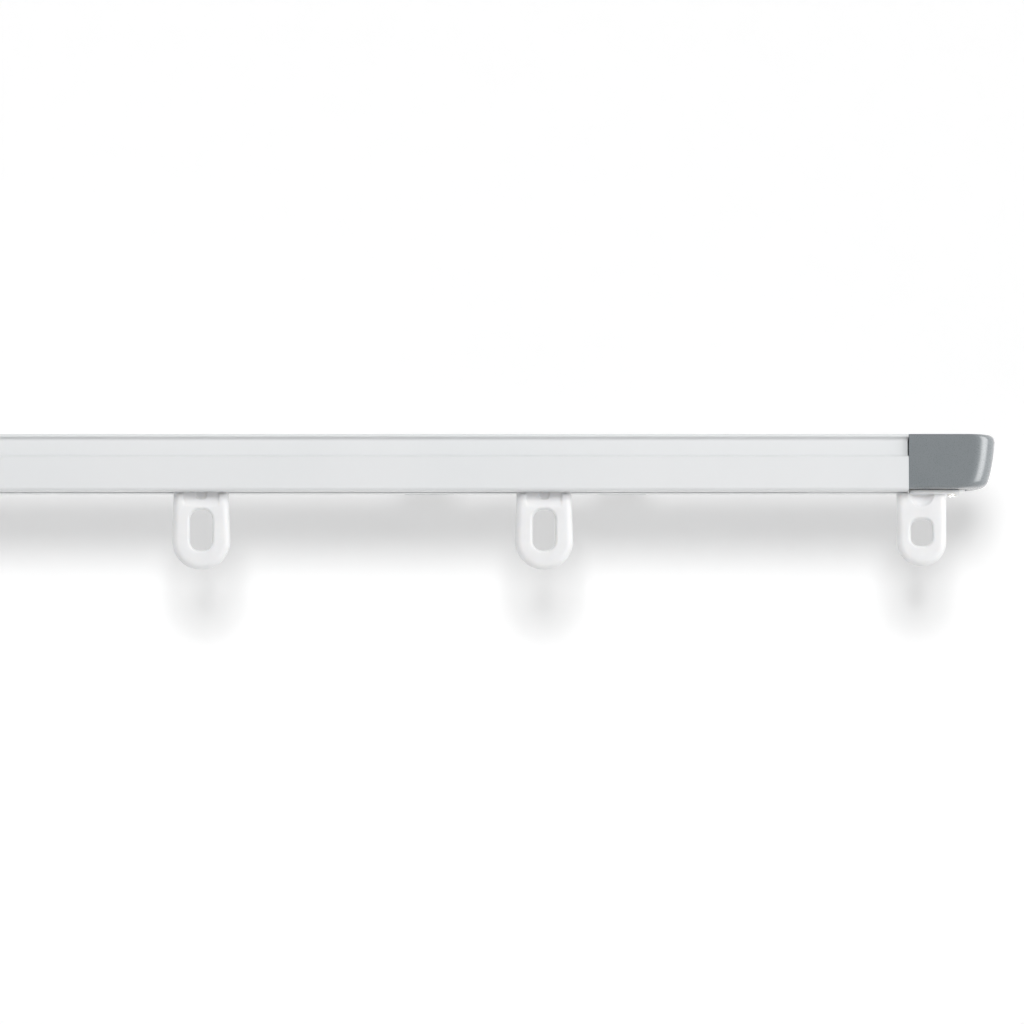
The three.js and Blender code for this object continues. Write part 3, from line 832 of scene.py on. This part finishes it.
def build_cam(side):
    """The clamp's stud, washer and lever, built about the cam's axis."""
    axis = CAM_AXES[side]
    neck_radius = 1.6

    def local(node):
        low, high = box(node)
        return low - Vector((axis.x, 0, axis.z)), high - Vector((axis.x, 0, axis.z))

    low, high = local(f"cam_stud_{side}")
    head_thick, tail_thick = 1.6, 0.85
    oval = rectangle(-neck_radius, low.z, neck_radius, high.z, neck_radius - 0.01)
    stud = plate(f"cam_stud_{side}_piece", "Y", oval, low.y, low.y + head_thick, edge=0.25)
    neck = plate("neck", "Y", circle(0, 0, neck_radius), low.y + 0.5, high.y - 0.3)
    tail = plate("tail", "Y", circle(0, 0, high.x), high.y - tail_thick, high.y, edge=0.35)
    combine(stud, "UNION", neck, tail)
    smooth(stud)

    low, high = local(f"cam_washer_{side}")
    ring, bore = circle(0, 0, high.x), circle(0, 0, neck_radius + 0.1)
    washer = plate(f"cam_washer_{side}_piece", "Y", ring, low.y, high.y, [bore], edge=0.1)
    smooth(washer)

    low, high = local(f"cam_lever_{side}")
    half, thick, hub_radius, taper = 2.5, 1.65, 3.9, 0.3
    arm = rounded([
        (-2, -half, 0.5),
        (high.x, -half + taper, 1.6),
        (high.x, half - taper, 1.6),
        (-2, half, 0.5),
    ])
    back = low.y + thick
    lever = plate(f"cam_lever_{side}_piece", "Y", arm, low.y, back)
    hub = plate("hub", "Y", circle(0, 0, hub_radius), low.y, back)
    tab_thick, tab_inset = 1.4, 1.2
    tab_outline = rectangle(high.x - tab_thick, low.y + 0.2, high.x, high.y, 0.4)
    tab = plate("tab", "Z", tab_outline, -half + tab_inset, half - tab_inset)
    groove_half, groove_depth = 0.7, 0.35
    groove_outline = rectangle(5.4, -groove_half, high.x - 3.4, groove_half, groove_half - 0.01)
    groove = plate("groove", "Y", groove_outline, back - groove_depth, back + PROUD)
    bore = plate("bore", "Y", circle(0, 0, neck_radius + 0.05), low.y - PROUD, high.y + PROUD)
    combine(lever, "UNION", hub, tab)
    combine(lever, "DIFFERENCE", groove, bore)
    smooth(eased(lever, 0.16))

    for obj, kind in ((stud, "stud"), (washer, "washer"), (lever, "lever")):
        moved(obj, axis.x, 0, axis.z)
        dress(obj, f"cam_{kind}_{side}", f"cam_{side}", "zinc_steel")


# ---------------------------------------------------------------- stage


def build_camera():
    """A long lens square to the rail's right end, looking slightly up at it.

    The width shown is the one at the target, which is the middle of the picture.
    """
    lens, sensor, shown = 500, 36, 251.1
    distance = shown * lens / sensor
    rise = math.radians(4.5)
    target = Vector((RAIL_END - 97.34, RAIL_FRONT, -12.23))
    position = target - Vector((0, math.cos(rise), math.sin(rise))) * distance
    data = bpy.data.cameras.new("camera")
    data.lens = lens
    data.sensor_width = sensor
    data.clip_start, data.clip_end = 0.05, 50
    camera = bpy.data.objects.new("camera", data)
    camera.location = position * MM
    camera.rotation_euler = (math.pi / 2 + rise, 0, 0)
    bpy.context.scene.collection.objects.link(camera)
    bpy.context.scene.camera = camera


def flat_sheet(name, corners, material):
    """A four-cornered stage surface, its corners in metres."""
    mesh = bpy.data.meshes.new(name)
    mesh.from_pydata(corners, [], [(0, 1, 2, 3)])
    obj = bpy.data.objects.new(name, mesh)
    bpy.context.scene.collection.objects.link(obj)
    mesh.materials.append(material)
    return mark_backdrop(obj)


def corners_of(reach, low, high):
    """Corners of a sheet that reaches as far to each side, as (x, other coordinate)."""
    return ((-reach, low), (reach, low), (reach, high), (-reach, high))


def build_stage():
    """A pale floor, and a faintly glowing pale wall that shows its face only to the room."""
    floor_material, nodes, links, shader = finish_nodes("stage_floor", (0.9, 0.9, 0.9), 0.7)
    ranged(nodes, links, object_noise(nodes, links, 4), 0.6, 0.8, shader.inputs["Roughness"])
    wall_material, nodes, links, shader = finish_nodes("stage_wall", (1.0, 1.0, 1.0), 0.9)
    shader.inputs["Specular IOR Level"].default_value = 0.1
    shader.inputs["Emission Color"].default_value = (1, 1, 1, 1)
    shader.inputs["Emission Strength"].default_value = 0.175
    geometry = nodes.new("ShaderNodeNewGeometry")
    clear = nodes.new("ShaderNodeBsdfTransparent")
    sides = nodes.new("ShaderNodeMixShader")
    links.new(geometry.outputs["Backfacing"], sides.inputs["Fac"])
    links.new(shader.outputs["BSDF"], sides.inputs[1])
    links.new(clear.outputs["BSDF"], sides.inputs[2])
    links.new(sides.outputs["Shader"], nodes["Material Output"].inputs["Surface"])
    reach, ground, ceiling, wall_y = 5.0, -0.4, 3.5, 0.03
    floor = [(x, y, ground) for x, y in corners_of(reach, -reach, reach)]
    wall = [(x, wall_y, z) for x, z in corners_of(reach, ground, ceiling)]
    flat_sheet("floor", floor, floor_material)
    flat_sheet("wall", wall, wall_material)


def aimed(obj, position, target):
    obj.location = position
    obj.rotation_euler = (Vector(target) - Vector(position)).to_track_quat("-Z", "Y").to_euler()
    bpy.context.scene.collection.objects.link(obj)


def build_lights():
    """Pale surroundings, brighter to the right, two soft suns from the front and four lamps.

    The pieces and the backdrop have a sun each, because the height that suits the shading of
    the rail is not the one that suits the shadow on the wall. Each lamp lights one group.
    """
    world = bpy.data.worlds.new("surroundings")
    world.use_nodes = True
    nodes, links = world.node_tree.nodes, world.node_tree.links
    direction = nodes.new("ShaderNodeTexCoord")
    parts = nodes.new("ShaderNodeSeparateXYZ")
    level = nodes.new("ShaderNodeMapRange")  # brightness by how far right a direction points
    level.inputs["From Min"].default_value = -0.8
    level.inputs["From Max"].default_value = 0.8
    level.inputs["To Min"].default_value = 0.08
    level.inputs["To Max"].default_value = 0.53
    links.new(direction.outputs["Generated"], parts.inputs["Vector"])
    links.new(parts.outputs["X"], level.inputs["Value"])
    links.new(level.outputs["Result"], nodes["Background"].inputs["Strength"])
    nodes["Background"].inputs["Color"].default_value = (1, 1, 1, 1)
    bpy.context.scene.world = world
    bpy.context.scene.view_settings.view_transform = "Standard"

    groups = ("pieces", "backdrop", "caps", "others", "stop_screws")
    lit = {name: bpy.data.collections.new(name) for name in groups}
    for obj in bpy.context.scene.objects:
        if obj.type != "MESH":
            continue
        if obj.name in ("floor", "wall"):
            lit["backdrop"].objects.link(obj)
            continue
        lit["pieces"].objects.link(obj)
        lit["caps" if obj.name.startswith("end_cap") else "others"].objects.link(obj)
        if obj.name.startswith("stop_screw"):
            lit["stop_screws"].objects.link(obj)

    for name, height, angle, energy, receivers in (
        ("key", 25, 26, 1.52, "pieces"),
        ("backdrop_key", 13.2, 15, 1.32, "backdrop"),
    ):
        sun = bpy.data.lights.new(name, "SUN")
        sun.energy = energy
        sun.angle = math.radians(angle)
        rise = math.radians(height)
        obj = bpy.data.objects.new(name, sun)
        aimed(obj, (0, -math.cos(rise), math.sin(rise)), (0, 0, 0))
        obj.visible_glossy = False
        obj.light_linking.receiver_collection = lit[receivers]

    for name, position, target, size, energy, receivers in (
        ("strip_right", (1.53, -0.69, 0.1), (0.31, 0, 0), (0.95, 1.8), 19, "caps"),
        ("side_fill", (1.53, -0.69, 0.1), (0.31, 0, 0), (0.95, 0.9), 7.0, "others"),
        ("rear", (-0.6, 1.8, 1.2), (0, 0, 0), (1.2, 1.2), 22, "pieces"),
        ("glint", (0.36, -0.5, -0.35), (0.31, -0.018, -0.007), (0.12, 0.12), 12, "stop_screws"),
    ):
        lamp = bpy.data.lights.new(name, "AREA")
        lamp.shape = "RECTANGLE"
        lamp.size, lamp.size_y = size
        lamp.energy = energy
        obj = bpy.data.objects.new(name, lamp)
        aimed(obj, position, target)
        obj.visible_camera = False
        obj.light_linking.receiver_collection = lit[receivers]


# ---------------------------------------------------------------- the whole

build_camera()
build_rail()
build_gliders()
build_end_stops()
build_end_caps()
build_screws()
for bracket_side in SIDES:
    build_bracket(bracket_side)
    build_cam(bracket_side)
build_stage()
build_lights()
